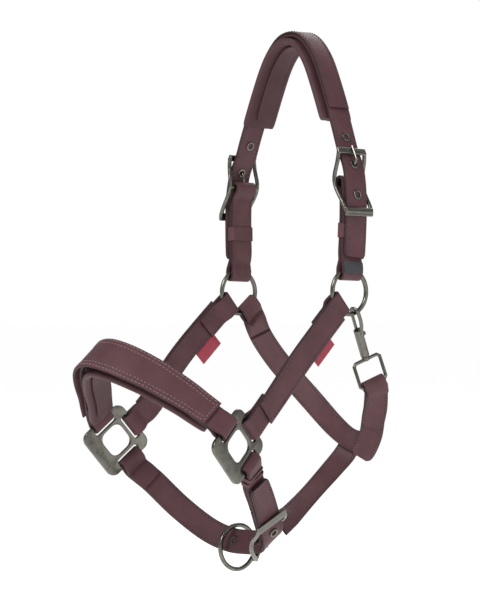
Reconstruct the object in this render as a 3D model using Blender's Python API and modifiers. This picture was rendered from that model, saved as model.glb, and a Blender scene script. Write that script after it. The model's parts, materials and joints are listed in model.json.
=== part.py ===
"""Leather headcollar for a horse: straps, pads, rings, squares, buckles and a trigger snap.

Frame: +Z up, the horse faces -Y, its left (near) side is +X. The origin is where the crown rests
on the poll. Lengths in the tables are millimetres and become metres through MM.
"""

import math

import bmesh
import bpy
import numpy as np
from mathutils import Matrix, Vector

MM = 0.001
GAP = 0.35

# Straps
STRAP_T = 3.0
BILLET_T = 3.4
CROWN_W = 23.5
CHIN_W = 22.5
CHEEK_W = 21.0
CHEEK_OVERLAY_W = 23.0
THROAT_W = 21.0
FOLD = 7.8            # distance between the two layers of a strap where it passes round a bar
LAYERS = 3.4          # the same distance where the two layers are sewn together
STEP = 7.0            # spacing of the stations along a strap

# Pads
PAD_T = 6.6
PAD_W = 36.0
CUSHION_T = 1.9
NOSE_PAD_T = 6.5
NOSE_END_W = 25.0
NOSE_MID_W = 35.0

# Rings
RING_R = 19.7
RING_WIRE = 2.05
RING_CENTRE = (77.5, -6.0, -220.6)
LEAD_RING_CENTRE = (-9.0, -62.5, -448.4)

# Near throat strap: where it passes round the eye of the snap
THROAT_END = (67.9, 29.9, -301.9)

# Halter squares
NEAR_SQUARE_CENTRE = (87.0, -140.0, -351.0)
FAR_SQUARE_CENTRE = (-87.0, -140.0, -353.5)
SQUARE_SPLAY = 10.0
NEAR_SQUARE_TILT = 43.5
FAR_SQUARE_TILT = 40.5
SQUARE_T = 3.2
OPENING = 12.0
SLOT_IN = 15.0
SLOT_OUT = 20.8
SLOT_HALF = 11.9
BAR_AT = 22.5
SQUARE_HALF = 24.4
BRAND_HALF = 25.5
SQUARE_FOLD = 8.4
NOSE_LEAN = 40.0      # how far the noseband leans inward about the square's bar, degrees
CHIN_LEAN = 27.0      # the same for the near chin chape

# Buckles
BAR_R = 2.0
RAIL_R = 2.0
RAIL_AT = 14.6
PLATE_OUT = 4.0       # how far the plate and the keeper stand off the strap's middle
BAR_IN = 9.0          # how far the centre bar lies behind it
TONGUE_R = 1.35
EYELET_IN = 2.5
EYELET_HOLE = 3.3

# Trigger snap: the axis points down from the hook to the eye
SNAP_AXIS = (-0.20, 0.50, -0.845)
SNAP_RING_ANGLE = 290.0
SNAP_SIDE = 3.0       # from the barrel's axis to the ring wire inside the hook
SNAP_DROP = 18.4      # from the ring wire down to the barrel's mouth
BARREL_R = 4.1
BARREL_LENGTH = 27.5
BOLT_R = 1.5
BOLT_AT = -1.6        # the bolt runs beside the barrel's axis, away from the hook's spine
HOOK_R = 1.8
HOOK_SPINE = 7.6
HOOK_BEND = -18.2     # centre of the hook's bend, above the barrel's mouth
EYE_HALF = 13.0       # from the middle of the eye's bar to its side arms
SPRING_R = 1.2
SPRING_WIRE = 0.28

# Straps in detail
OVERLAY_T = 2.0       # second layer sewn on the cheeks and noseband
CROWN_OVERLAY_T = 1.6
CROWN_EYELET_STEP = 27.0
RING_BACK = 34.0      # how far a strap is folded back where it holds a ring
SQUARE_BACK = 30.0    # the same at a halter square
THROAT_BACK = 44.0
PUNCH_DEPTH = 9.0
LABEL_T = 0.6

# Fabric tabs at the rear edge of the cheek straps: (distance from the ring, width)
TABS = {"near": (45.0, 9.0), "far": (43.0, 13.0)}
TAB_LENGTH = 27.0
TAB_T = 1.2

COLOURS = {
    "strap": ((0.105, 0.052, 0.058), 0.62, 0.0),
    "pad": ((0.115, 0.056, 0.062), 0.70, 0.0),
    "tab": ((0.36, 0.035, 0.07), 0.60, 0.0),
    "label": ((0.012, 0.014, 0.020), 0.80, 0.0),
    "metal": ((0.15, 0.145, 0.125), 0.28, 1.0),
    "spring": ((0.45, 0.45, 0.45), 0.30, 1.0),
}


# ---------------------------------------------------------------- scene helpers

def clear_scene():
    for obj in list(bpy.data.objects):
        bpy.data.objects.remove(obj)


def collection(name):
    made = bpy.data.collections.new(name)
    bpy.context.scene.collection.children.link(made)
    return made


def scrap():
    """Holds the cutting and joining shapes while they are in use."""
    return bpy.data.collections.get("cutters") or collection("cutters")


def material(key):
    found = bpy.data.materials.get(key)
    if found:
        return found
    colour, rough, metal = COLOURS[key]
    made = bpy.data.materials.new(key)
    made.use_nodes = True
    shader = made.node_tree.nodes["Principled BSDF"]
    shader.inputs["Base Color"].default_value = (*colour, 1.0)
    shader.inputs["Roughness"].default_value = rough
    shader.inputs["Metallic"].default_value = metal
    return made


def place(name, mesh, key, group):
    obj = bpy.data.objects.new(name, mesh)
    mesh.materials.clear()
    mesh.materials.append(material(key))
    group.objects.link(obj)
    return obj


def evaluated_mesh(obj):
    bpy.context.view_layer.update()
    graph = bpy.context.evaluated_depsgraph_get()
    mesh = bpy.data.meshes.new_from_object(obj.evaluated_get(graph))
    mesh.transform(obj.matrix_world)
    return mesh


def settled(obj, weld=True):
    """The object with its modifiers applied, as a plain mesh in world space."""
    mesh = evaluated_mesh(obj)
    name = obj.name
    group = obj.users_collection[0]
    old = obj.data
    slots = [slot.material.name for slot in obj.material_slots]
    bpy.data.objects.remove(obj)
    if isinstance(old, bpy.types.Curve):
        bpy.data.curves.remove(old)
    if weld:
        bm = bmesh.new()
        bm.from_mesh(mesh)
        bmesh.ops.remove_doubles(bm, verts=bm.verts, dist=0.000002)
        bmesh.ops.recalc_face_normals(bm, faces=bm.faces)
        bm.to_mesh(mesh)
        bm.free()
    return place(name, mesh, slots[0] if slots else "metal", group)


def boolean(obj, cutter, operation):
    modifier = obj.modifiers.new("join", "BOOLEAN")
    modifier.operation = operation
    modifier.object = cutter
    modifier.solver = "EXACT"
    result = settled(obj, weld=False)
    bpy.data.objects.remove(cutter)
    return result


def union(base, *others):
    for other in others:
        base = boolean(base, other, "UNION")
    return base


def cut(base, *others):
    for other in others:
        base = boolean(base, other, "DIFFERENCE")
    return base


def frame_matrix(origin, x_axis, y_axis, z_axis):
    """Places a shape made in millimetres about its own axes."""
    m = Matrix.Identity(4)
    for column, axis in enumerate((x_axis, y_axis, z_axis)):
        for row in range(3):
            m[row][column] = float(axis[row]) * MM
    for row in range(3):
        m[row][3] = float(origin[row]) * MM
    return m


def hinge_at(obj, point):
    """Puts the object's origin on its joint axis without moving its surface."""
    shift = Matrix.Translation(Vector([float(value) * MM for value in point]))
    obj.data.transform(shift.inverted())
    obj.matrix_world = shift
    return obj


def from_bmesh(name, bm, matrix, key, group):
    bmesh.ops.transform(bm, matrix=matrix, verts=bm.verts)
    bmesh.ops.recalc_face_normals(bm, faces=bm.faces)
    mesh = bpy.data.meshes.new(name)
    bm.to_mesh(mesh)
    bm.free()
    return place(name, mesh, key, group)


def block(name, size, matrix, key, group, bevel=0.0):
    bm = bmesh.new()
    bmesh.ops.create_cube(bm, size=1.0)
    bmesh.ops.scale(bm, vec=Vector(size), verts=bm.verts)
    if bevel:
        bmesh.ops.bevel(bm, geom=bm.edges[:], offset=bevel, segments=1, affect="EDGES")
    return from_bmesh(name, bm, matrix, key, group)


def rod(name, radius, length, matrix, key, group, sides=12):
    bm = bmesh.new()
    bmesh.ops.create_cone(bm, cap_ends=True, segments=sides, radius1=radius, radius2=radius, depth=length)
    return from_bmesh(name, bm, matrix, key, group)


def wire(name, points, radius, key, group, closed=False, resolution=2):
    """A round wire through points in millimetres."""
    curve = bpy.data.curves.new(name, "CURVE")
    curve.dimensions = "3D"
    curve.bevel_depth = radius * MM
    curve.bevel_resolution = resolution
    curve.use_fill_caps = not closed
    spline = curve.splines.new("POLY")
    spline.points.add(len(points) - 1)
    for slot, point in zip(spline.points, points):
        slot.co = (*(float(value) * MM for value in point), 1.0)
    spline.use_cyclic_u = closed
    obj = bpy.data.objects.new(name, curve)
    curve.materials.append(material(key))
    group.objects.link(obj)
    return settled(obj)


def turned(name, profile, matrix, key, group, steps=16):
    """A closed profile of (radius, height) pairs turned about its own Z."""
    bm = bmesh.new()
    corners = [bm.verts.new((radius, 0.0, height)) for radius, height in profile]
    for one, two in zip(corners, corners[1:] + corners[:1]):
        bm.edges.new((one, two))
    mesh = bpy.data.meshes.new(name)
    bm.to_mesh(mesh)
    bm.free()
    obj = place(name, mesh, key, group)
    screw = obj.modifiers.new("turn", "SCREW")
    screw.steps = steps
    screw.render_steps = steps
    screw.use_merge_vertices = True
    screw.merge_threshold = 0.0001
    obj = settled(obj)
    obj.data.transform(matrix)
    bm = bmesh.new()
    bm.from_mesh(obj.data)
    bmesh.ops.recalc_face_normals(bm, faces=bm.faces)
    bm.to_mesh(obj.data)
    bm.free()
    return obj


# ---------------------------------------------------------------- straps

def unit(v):
    v = np.asarray(v, float)
    return v / np.linalg.norm(v)


def smooth(controls, per_span=12):
    """Catmull-Rom through rows of numbers."""
    rows = np.array(controls, float)
    padded = np.vstack([2 * rows[0] - rows[1], rows, 2 * rows[-1] - rows[-2]])
    out = []
    for i in range(1, len(padded) - 2):
        a, b, c, d = padded[i - 1:i + 3]
        for k in range(per_span):
            t = k / per_span
            out.append(0.5 * (2 * b + (c - a) * t + (2 * a - 5 * b + 4 * c - d) * t * t
                              + (3 * b - a - 3 * c + d) * t ** 3))
    out.append(rows[-1])
    return np.array(out)


class Line:
    """A strap's run: middle, across direction and outward normal at any distance along it.

    Each control is (position, across). The outward normal is side * (tangent x across).
    """

    def __init__(self, controls, side=1.0):
        rows = smooth([(*position, *unit(across)) for position, across in controls])
        lengths = np.linalg.norm(np.diff(rows[:, :3], axis=0), axis=1)
        self.at_row = np.concatenate([[0.0], np.cumsum(lengths)])
        self.rows = rows
        self.side = side
        self.length = float(self.at_row[-1])

    def raw(self, s):
        return np.array([np.interp(s, self.at_row, self.rows[:, k]) for k in range(6)])

    def frame(self, s):
        """(position, tangent, across, outward normal) at distance s."""
        here = self.raw(s)
        low = max(s - 1.0, 0.0)
        high = min(s + 1.0, self.length)
        tangent = unit(self.raw(high)[:3] - self.raw(low)[:3])
        across = here[3:] - np.dot(here[3:], tangent) * tangent
        across = unit(across)
        return here[:3], tangent, across, self.side * np.cross(tangent, across)

    def point(self, s, out=0.0, sideways=0.0):
        position, _, across, normal = self.frame(s)
        return position + normal * out + across * sideways

    def nearest(self, target):
        gaps = np.linalg.norm(self.rows[:, :3] - np.asarray(target, float), axis=1)
        return float(self.at_row[int(np.argmin(gaps))])

    def stations(self, start, end, out=0.0, step=STEP):
        """(middle, across) pairs from start to end, offset outward."""
        count = max(2, int(round(abs(end - start) / step)) + 1)
        return [(self.point(s, out), self.frame(s)[2]) for s in np.linspace(start, end, count)]


def fold(line, s_end, forward, out, gap, hold, back, layers=LAYERS):
    """Stations round a bar at s_end and back along the inner side of the strap."""
    position, tangent, across, normal = line.frame(s_end)
    tangent = tangent * forward
    centre = position + normal * (out - gap / 2)
    made = []
    turns = 7
    for k in range(1, turns):
        angle = math.pi * k / turns
        made.append((centre + gap / 2 * (normal * math.cos(angle) + tangent * math.sin(angle)), across))
    taper = 9.0
    distances = [0.0, hold * 0.5, hold]
    distances += [hold + taper * k / 4 for k in range(1, 5)]
    distances += list(np.arange(hold + taper + STEP, back, STEP))
    distances.append(back)
    for u in distances:
        blend = min(max((u - hold) / taper, 0.0), 1.0)
        blend = blend * blend * (3 - 2 * blend)
        depth = gap + (layers - gap) * blend
        s = s_end - forward * u
        made.append((line.point(s, out - depth), line.frame(s)[2]))
    return made


def ribbon(name, stations, widths, thickness, key, group, shift=0.0):
    """A strap of the given thickness through (middle, across) stations."""
    if not hasattr(widths, "__len__"):
        widths = [widths] * len(stations)
    bm = bmesh.new()
    rows = []
    for (middle, across), width in zip(stations, widths):
        low = Vector((np.asarray(middle) - across * (width / 2 - shift)) * MM)
        high = Vector((np.asarray(middle) + across * (width / 2 + shift)) * MM)
        rows.append((bm.verts.new(low), bm.verts.new(high)))
    for (a, b), (c, d) in zip(rows, rows[1:]):
        bm.faces.new((a, b, d, c))
    mesh = bpy.data.meshes.new(name)
    bm.to_mesh(mesh)
    bm.free()
    obj = place(name, mesh, key, group)
    solid = obj.modifiers.new("thickness", "SOLIDIFY")
    solid.thickness = thickness * MM
    solid.offset = 0.0
    solid.use_even_offset = True
    solid.use_rim = True
    return settled(obj)


def ring_seat(width):
    """Distance from a ring's centre to the middle of the fold of a strap this wide."""
    reach = math.sqrt(RING_R ** 2 - (width / 2 + 0.6) ** 2)
    return reach - RING_WIRE - GAP + (FOLD - STRAP_T) / 2


def ring_hold(width):
    return RING_R + RING_WIRE + GAP + 0.8 - ring_seat(width)


# ---------------------------------------------------------------- where the straps run

def mirrored(point):
    return (-point[0], point[1], point[2])


def square_frame(side):
    """Centre and axes of a halter square: towards the cheek, towards the nose, outward."""
    splay = math.radians(SQUARE_SPLAY)
    tilt = math.radians(NEAR_SQUARE_TILT if side > 0 else FAR_SQUARE_TILT)
    centre = np.array(NEAR_SQUARE_CENTRE if side > 0 else FAR_SQUARE_CENTRE)
    level = np.array([-math.sin(splay) * side, math.cos(splay), 0.0])
    up = np.array([0.0, 0.0, 1.0])
    cheek = math.cos(tilt) * level + math.sin(tilt) * up
    nose = -math.sin(tilt) * level + math.cos(tilt) * up
    out = np.array([math.cos(splay) * side, math.sin(splay), 0.0])
    return centre, cheek, nose, out


CROWN_HALF = [
    (0, 0, 11.0), (12, 0, 8.7), (23, 0, 0.8), (34.5, -0.3, -13.5), (45.5, -0.7, -35), (56, -1.2, -58.5),
    (65, -2, -80), (71, -2.4, -95), (78.5, -3, -109), (82, -3.4, -122), (83.8, -3.8, -136),
    (84.2, -4, -152), (83.6, -4.3, -172), (83.0, -4.6, -186), (84.5, -5.2, -192.5),
    (86.3, -5.8, RING_CENTRE[2] + ring_seat(CROWN_W) + 6.5),
    (86.5, -6, RING_CENTRE[2] + ring_seat(CROWN_W)),
]


def crown_line():
    """From the near ring over the poll to the far ring."""
    near = list(reversed(CROWN_HALF))
    far = [mirrored(p) for p in CROWN_HALF[1:]]
    return Line([(p, (0, 1, 0)) for p in near + far], side=-1.0)


def bar_point(side, axis, offset, out):
    centre, cheek, nose, normal = square_frame(side)
    direction = cheek if axis == "cheek" else nose
    return centre + direction * offset + normal * out


def straight_end(point, away, across, reach=12.0):
    """Controls that keep a strap straight where it leaves a bar."""
    return [(tuple(point + away * reach * part), across) for part in (0.0, 0.5, 1.0)]


def noseband_line():
    """From the near square over the nose to the far square."""
    half = [(76.0, -172.5, -317.0), (65.5, -181.5, -307.5), (47.0, -198.5, -292.5),
            (28.0, -212.5, -281.5), (12.0, -219.5, -276.0)]
    lean = math.radians(NOSE_LEAN)
    face = unit((0.0, 0.75, 0.66))

    def side_controls(side):
        centre, cheek, nose, normal = square_frame(side)
        outward = math.cos(lean) * normal + math.sin(lean) * nose
        leaving = math.cos(lean) * nose - math.sin(lean) * normal
        controls = straight_end(centre + nose * BAR_AT + outward * (SQUARE_FOLD / 2), leaving, cheek)
        for k, (x, y, z) in enumerate(half):
            t = min(1.0, (k + 1) / 4)
            controls.append(((x * side, y, z), cheek * (1 - t) + face * t))
        return controls

    middle = [((0.0, -221.0, -274.6), face)]
    return Line(side_controls(1.0) + middle + list(reversed(side_controls(-1.0))), side=-1.0)


def chin_line():
    """From the near square under the chin to the far square; the near end lies over the chape."""
    chape_out = BAR_IN - FOLD / 2
    centre, cheek, nose, normal = square_frame(1.0)
    _, far_cheek, far_nose, _ = square_frame(-1.0)
    lean = math.radians(CHIN_LEAN)
    outward = math.cos(lean) * normal - math.sin(lean) * nose
    leaving = -math.cos(lean) * nose - math.sin(lean) * normal
    start = centre - nose * BAR_AT + outward * (SQUARE_FOLD / 2 + chape_out)
    end = bar_point(-1.0, "nose", -BAR_AT, SQUARE_FOLD / 2)
    controls = [
        *straight_end(start, leaving, cheek, 9.0),
        ((80.7, -111.5, -385.3), (0.02, 0.78, 0.62)),
        ((72.4, -98.7, -401.0), (0.10, 0.82, 0.57)),
        ((63.5, -86.0, -417.5), (0.17, 0.84, 0.51)),
        ((57.0, -77.0, -430.0), (0.20, 0.80, 0.56)),
        ((46.0, -70.0, -438.5), (0.18, 0.70, 0.68)),
        ((27, -64.5, -441.5), (0.12, 0.50, 0.85)),
        ((8, -65.0, -442.5), (0.03, 0.40, 0.91)),
        ((-12, -68.0, -441.8), (0.0, 0.42, 0.90)),
        ((-34, -76.5, -433.5), (0.25, 0.44, 0.86)),
        ((-56, -92, -414), (0.36, 0.48, 0.80)),
        ((-74, -108.5, -391), (0.32, 0.58, 0.75)),
        *reversed(straight_end(end, -far_nose, far_cheek)),
    ]
    return Line(controls, side=1.0)


def ring_centre(side):
    return np.array([RING_CENTRE[0] * side, RING_CENTRE[1], RING_CENTRE[2]])


def radial(degrees):
    angle = math.radians(degrees)
    return np.array([0.0, math.cos(angle), math.sin(angle)])


def cheek_line(side):
    """From a ring down and forward to the halter square."""
    direction = radial(221.0)
    across = radial(221.0 + 90.0)
    out = np.array([side, 0.0, 0.0])
    start = ring_centre(side) + direction * ring_seat(CHEEK_W) + out * FOLD / 2
    _, cheek, nose, normal = square_frame(side)
    end = bar_point(side, "cheek", BAR_AT, SQUARE_FOLD / 2)
    controls = [
        (tuple(start), across),
        (tuple(start + direction * 12), across),
        ((83.2 * side, -68, -279), across),
        (tuple(end + cheek * 26 + normal * 0.5), -nose),
        *reversed(straight_end(end, cheek, -nose)),
    ]
    return Line(controls, side=side)


def far_throat_line():
    """From the far ring under the throat to the junction."""
    lean = math.radians(6.0)
    around = radial(310.0)
    direction = math.cos(lean) * around + math.sin(lean) * np.array([1.0, 0.0, 0.0])
    start = ring_centre(-1.0) + around * ring_seat(CHEEK_W) + np.array([-FOLD / 2, 0.0, 0.0])
    leaning = start + around * ring_hold(CHEEK_W)
    controls = [
        (tuple(start), radial(40.0)),
        (tuple(leaning), radial(40.0)),
        (tuple(leaning + direction * 9), radial(40.0) + np.array([0.15, 0, 0])),
        ((-69, 15.5, -263), (0.45, 0.62, 0.55)),
        ((-51.5, 22.7, -287), (0.56, 0.66, 0.47)),
        ((-21, 34, -319), (0.66, 0.55, 0.48)),
        ((4, 40, -342), (0.68, 0.30, 0.62)),
        ((22, 44, -354), (0.62, 0.05, 0.78)),
        ((36, 50, -358), (0.45, 0.0, 0.89)),
    ]
    return Line(controls, side=-1.0)


def near_throat_line():
    """From the junction up to the eye of the snap."""
    end = np.array(THROAT_END)
    along = unit((-0.095, -0.404, 0.909))
    across = (0.363, 0.836, 0.410)
    return Line([
        ((37.2, 42.7, -370.0), (0.80, 0.45, 0.30)),
        ((43.9, 43.9, -360.7), (0.85, 0.42, 0.26)),
        ((51.2, 43.4, -348.6), (0.82, 0.55, 0.14)),
        ((57.4, 40.7, -333.9), (0.70, 0.70, 0.12)),
        ((62.9, 37.9, -321.9), (0.55, 0.78, 0.22)),
        *reversed(straight_end(end, -along, across, 7.0)),
    ], side=1.0)


def eye_bar():
    """Middle and direction of the straight bar that the near throat strap passes round."""
    line = near_throat_line()
    return line.point(line.length, -FOLD / 2), line.frame(line.length)[2]


def jaw_line():
    """From behind the junction forward to the inner side of the chin chape."""
    return Line([
        ((23.0, 49.9, -347), (-0.80, -0.22, 0.56)),
        ((18.0, 49.6, -356.5), (-0.80, -0.24, 0.55)),
        ((13.5, 45.5, -368), (-0.82, -0.28, 0.50)),
        ((13.0, 31.0, -381), (-0.88, -0.20, 0.42)),
        ((17.0, 3.0, -400.5), (-0.92, -0.02, 0.40)),
        ((22.0, -24.0, -417.5), (-0.82, 0.0, 0.57)),
        ((28.0, -38.0, -423.0), (-0.62, 0.05, 0.78)),
        ((32.5, -48.0, -427.0), (-0.50, 0.05, 0.86)),
    ], side=1.0)


# ---------------------------------------------------------------- hardware

def eyelet(name, line, s, group, thickness):
    """A turned eyelet standing in the strap at s."""
    position, tangent, _, normal = line.frame(s)
    front = thickness / 2 + 0.7
    rear = -thickness / 2 - 0.6
    barrel = EYELET_HOLE - 0.35
    profile = [
        (EYELET_IN, front + 0.5), (EYELET_IN + 0.5, front + 0.8), (4.2, front + 0.7), (4.6, front),
        (barrel, front), (barrel, rear), (4.4, rear), (4.2, rear - 0.4), (EYELET_IN, rear - 0.4),
    ]
    matrix = frame_matrix(position, tangent, np.cross(normal, tangent), normal)
    return turned(name, profile, matrix, "metal", group, steps=12)


def punch(strap, line, s):
    """Cuts an eyelet's hole through the strap at s."""
    position, tangent, _, normal = line.frame(s)
    matrix = frame_matrix(position, tangent, np.cross(normal, tangent), normal)
    tool = rod("punch", EYELET_HOLE, PUNCH_DEPTH, matrix, "metal", scrap())
    return cut(strap, tool)


def buckle_frame(name, line, s_plate, s_bar, s_keeper, group):
    """A cast frame: tongue plate, side rails, centre bar and keeper, following the strap."""
    way = 1.0 if s_keeper > s_plate else -1.0

    def rail(sideways):
        # The rails run outside the strap at both ends and behind it at the centre bar.
        points = []
        for k in range(13):
            t = k / 12
            if t < 0.5:
                s = s_plate + (s_bar - s_plate) * (t * 2)
                depth = math.sin(math.pi * t)
            else:
                s = s_bar + (s_keeper - s_bar) * (t * 2 - 1)
                depth = math.sin(math.pi * t)
            out = PLATE_OUT + (-BAR_IN - PLATE_OUT) * depth ** 1.3
            bulge = 1.6 * math.sin(math.pi * t)
            points.append(line.point(s, out, sideways * (RAIL_AT + bulge)))
        return points

    loop = rail(1.0) + list(reversed(rail(-1.0)))
    body = wire(name, loop, RAIL_R, "metal", group, closed=True, resolution=1)

    def crossbar(s, out, size, bevel):
        position, tangent, across, normal = line.frame(s)
        along = tangent * way
        matrix = frame_matrix(position + normal * out, across, along, np.cross(across, along))
        return block("bar", size, matrix, "metal", scrap(), bevel)

    plate = crossbar(s_plate, PLATE_OUT, (2 * RAIL_AT + 3.4, 6.4, 2.8), 0.7)
    keeper = crossbar(s_keeper, PLATE_OUT, (2 * RAIL_AT + 3.0, 7.6, 2.6), 0.7)
    position, tangent, across, normal = line.frame(s_bar)
    matrix = frame_matrix(position - normal * BAR_IN, tangent, normal, across)
    bar = rod("bar", BAR_R, 2 * (RAIL_AT + 1.6), matrix, "metal", scrap(), sides=10)
    return union(body, plate, keeper, bar)


def buckle_tongue(name, line, s_plate, s_bar, s_eyelet, group):
    """A wire tongue that turns on the centre bar, passes the eyelet and lies on the plate."""
    way = 1.0 if s_plate > s_bar else -1.0
    position, tangent, _, normal = line.frame(s_bar)
    centre = position - normal * BAR_IN
    ring_r = BAR_R + GAP + TONGUE_R
    loop = []
    for k in range(12):
        angle = 2 * math.pi * k / 12
        loop.append(centre + ring_r * (math.cos(angle) * normal + math.sin(angle) * tangent))
    ring = wire(name, loop, TONGUE_R, "metal", group, closed=True, resolution=1)
    start = centre + tangent * way * ring_r
    lying = PLATE_OUT + 1.4 + GAP + TONGUE_R
    route = [
        start,
        line.point(s_eyelet - way * 2.2, -5.8),
        line.point(s_eyelet, -3.4),
        line.point(s_eyelet, 2.8),
        line.point(s_eyelet + way * 2.6, lying),
        line.point(s_plate, lying),
        line.point(s_plate + way * 4.6, lying - 0.2),
    ]
    stem = wire("stem", route, TONGUE_R, "metal", scrap(), resolution=1)
    return hinge_at(union(ring, stem), centre)


def slot_for_tongue(strap, line, s_bar, towards_plate):
    """Opens the fold of a chape so that the tongue can turn on the bar."""
    position, tangent, across, normal = line.frame(s_bar)
    centre = position - normal * BAR_IN + tangent * towards_plate * 2.5
    tool = block("slot", (4.6, 15.0, 19.0), frame_matrix(centre, across, tangent, np.cross(across, tangent)),
                 "metal", scrap())
    return cut(strap, tool)


def rounded_outline(corners, radius, steps=4):
    """Points of a polygon whose corners are rounded arcs."""
    points = []
    count = len(corners)
    for i, corner in enumerate(corners):
        corner = Vector(corner)
        before = (Vector(corners[i - 1]) - corner).normalized()
        after = (Vector(corners[(i + 1) % count]) - corner).normalized()
        half = before.angle(after) / 2
        reach = radius / math.tan(half)
        centre = corner + (before + after).normalized() * (radius / math.sin(half))
        first = corner + before * reach - centre
        last = corner + after * reach - centre
        turn = first.angle_signed(last)
        for k in range(steps + 1):
            angle = -turn * k / steps
            rotated = Matrix.Rotation(angle, 2) @ first
            points.append(tuple(centre + rotated))
    return points


def halter_square(name, side, group):
    """A cast square with three strap slots and a rounded central opening."""
    curve = bpy.data.curves.new(name, "CURVE")
    curve.dimensions = "2D"
    curve.fill_mode = "BOTH"
    curve.extrude = SQUARE_T / 2

    def outline(points):
        spline = curve.splines.new("POLY")
        spline.points.add(len(points) - 1)
        for slot, point in zip(spline.points, points):
            slot.co = (point[0], point[1], 0.0, 1.0)
        spline.use_cyclic_u = True

    def box(x0, x1, y0, y1):
        return [(x0, y0), (x1, y0), (x1, y1), (x0, y1)]

    outline(rounded_outline(box(-BRAND_HALF, SQUARE_HALF, -SQUARE_HALF, SQUARE_HALF), 8.0))
    outline(rounded_outline(box(-OPENING, OPENING, -OPENING, OPENING), 5.0))
    outline(rounded_outline(box(SLOT_IN, SLOT_OUT, -SLOT_HALF, SLOT_HALF), 2.0, 2))
    outline(rounded_outline(box(-SLOT_HALF, SLOT_HALF, SLOT_IN, SLOT_OUT), 2.0, 2))
    outline(rounded_outline(box(-SLOT_HALF, SLOT_HALF, -SLOT_OUT, -SLOT_IN), 2.0, 2))
    obj = bpy.data.objects.new(name, curve)
    curve.materials.append(material("metal"))
    group.objects.link(obj)
    obj = settled(obj)
    centre, cheek, nose, normal = square_frame(side)
    obj.data.transform(frame_matrix(centre, cheek, nose, normal))
    bm = bmesh.new()
    bm.from_mesh(obj.data)
    bmesh.ops.remove_doubles(bm, verts=bm.verts, dist=0.000002)
    bmesh.ops.recalc_face_normals(bm, faces=bm.faces)
    bm.to_mesh(obj.data)
    bm.free()
    bevel = obj.modifiers.new("edge", "BEVEL")
    bevel.width = 0.5 * MM
    bevel.segments = 1
    bevel.limit_method = "ANGLE"
    bevel.angle_limit = math.radians(60)
    return settled(obj)


def ring(name, centre, group, plane=((0, 1, 0), (0, 0, 1))):
    points = []
    for k in range(30):
        angle = 2 * math.pi * k / 30
        points.append(np.array(centre) + RING_R * (math.cos(angle) * np.array(plane[0], float)
                                                   + math.sin(angle) * np.array(plane[1], float)))
    return wire(name, points, RING_WIRE, "metal", group, closed=True, resolution=1)


def snap_axes():
    """Origin at the barrel's mouth; axis down, side towards the hook's spine, rear along the ring."""
    axis = unit(SNAP_AXIS)
    rear = radial(SNAP_RING_ANGLE + 90.0)
    rear = unit(rear - np.dot(rear, axis) * axis)
    spine = np.cross(rear, axis)
    if spine[0] < 0:
        spine = -spine
    held = ring_centre(1.0) + radial(SNAP_RING_ANGLE) * RING_R
    origin = held + axis * SNAP_DROP - spine * SNAP_SIDE
    return origin, axis, spine, rear


def snap_point(down, spine_way=0.0, rear_way=0.0):
    origin, axis, spine, rear = snap_axes()
    return origin + axis * down + spine * spine_way + rear * rear_way


def snap_body(group):
    """The barrel with its hook; the bolt's bore is open at the top and slotted for the knob."""
    _, axis, spine, rear = snap_axes()
    level = np.cross(axis, spine)
    upright = frame_matrix(snap_point(BARREL_LENGTH / 2), spine, level, axis)
    body = rod("snap_body", BARREL_R, BARREL_LENGTH, upright, "metal", group, sides=16)
    spine_run = ((7.0, 1.8), (1.0, 4.4), (-5.0, 6.6), (-11.0, HOOK_SPINE))
    hook = [snap_point(down, aside) for down, aside in spine_run]
    bend = (HOOK_SPINE - BOLT_AT) / 2
    for k in range(1, 9):
        angle = math.pi * k / 9
        aside = BOLT_AT + bend + bend * math.cos(angle)
        hook.append(snap_point(HOOK_BEND - bend * math.sin(angle), aside))
    hook.append(snap_point(HOOK_BEND + 1.4, BOLT_AT))
    hook = wire("hook", hook, HOOK_R, "metal", scrap(), resolution=2)
    body = union(body, hook)
    bored = frame_matrix(snap_point(10.0, BOLT_AT), spine, level, axis)
    bore = rod("bore", BOLT_R + GAP, 26.0, bored, "metal", scrap(), sides=16)
    slotted = frame_matrix(snap_point(12.2, BOLT_AT, 3.4), spine, rear, np.cross(spine, rear))
    slot = block("slot", (2.9, 6.0, 14.4), slotted, "metal", scrap())
    return hinge_at(cut(body, bore, slot), snap_point(0.0))


def snap_bolt(group):
    _, axis, spine, rear = snap_axes()
    top, bottom = HOOK_BEND + 1.4 + GAP, 11.0
    along = frame_matrix(snap_point((top + bottom) / 2, BOLT_AT), spine, np.cross(axis, spine), axis)
    shaft = rod("snap_bolt", BOLT_R, bottom - top, along, "metal", group)
    at_stem = frame_matrix(snap_point(8.0, BOLT_AT, 3.2), axis, spine, rear)
    stem = rod("stem", 1.1, 6.4, at_stem, "metal", scrap(), 10)
    at_knob = frame_matrix(snap_point(8.0, BOLT_AT, 6.4), axis, spine, rear)
    knob = rod("knob", 2.4, 2.2, at_knob, "metal", scrap(), 12)
    return hinge_at(union(shaft, stem, knob), snap_point(0.0))


def snap_spring(group):
    """A fine coil that pushes the bolt up against the hook's tip."""
    low, high, turns, per_turn = 11.6, 22.2, 4, 8
    points = []
    for k in range(turns * per_turn + 1):
        angle = 2 * math.pi * k / per_turn
        down = low + (high - low) * k / (turns * per_turn)
        aside = BOLT_AT + SPRING_R * math.cos(angle)
        points.append(snap_point(down, aside, SPRING_R * math.sin(angle)))
    return wire("snap_spring", points, SPRING_WIRE, "spring", group, resolution=1)


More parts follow.
